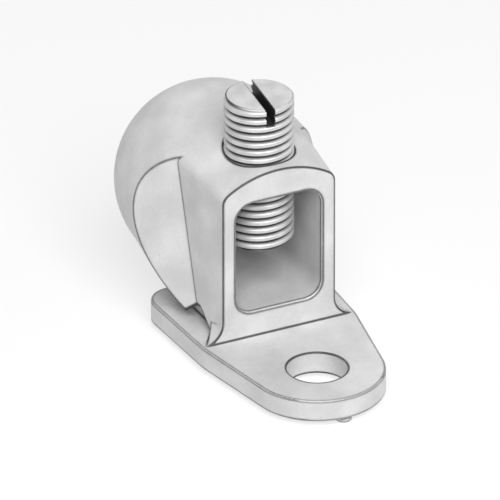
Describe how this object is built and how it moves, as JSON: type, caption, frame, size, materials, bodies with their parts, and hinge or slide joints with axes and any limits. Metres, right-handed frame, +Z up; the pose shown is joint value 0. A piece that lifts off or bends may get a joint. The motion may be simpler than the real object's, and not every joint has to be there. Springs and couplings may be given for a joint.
{
  "type": "set screw earth lug",
  "caption": "Cast earth lug with a flat bolt-down palm, a square necked barrel for the conductor and a slotted clamp screw on top.",
  "frame": {"origin": "centre of the palm's fixing hole on the underside, which is the mounting face", "axes": "+Z up along the fixing bolt and the clamp screw, +Y from the palm towards the conductor entry, +X to the right seen from the palm's tip"},
  "size_m": [0.035, 0.0627, 0.0466],
  "materials": {
    "cast_body": "fine sand-cast grain, dull plated, edges a little brighter",
    "plated_screw": "rolled thread, satin zinc plate"
  },
  "bodies": {
    "lug": {"lug_body": "cast_body"},
    "screw": {"clamp_screw": "plated_screw"}
  },
  "joints": [
    {"name": "screw_travel", "type": "slide", "parent": "lug", "child": "screw", "axis": [0, 0, 1], "range_m": [-0.0092, 0.0105]}
  ]
}
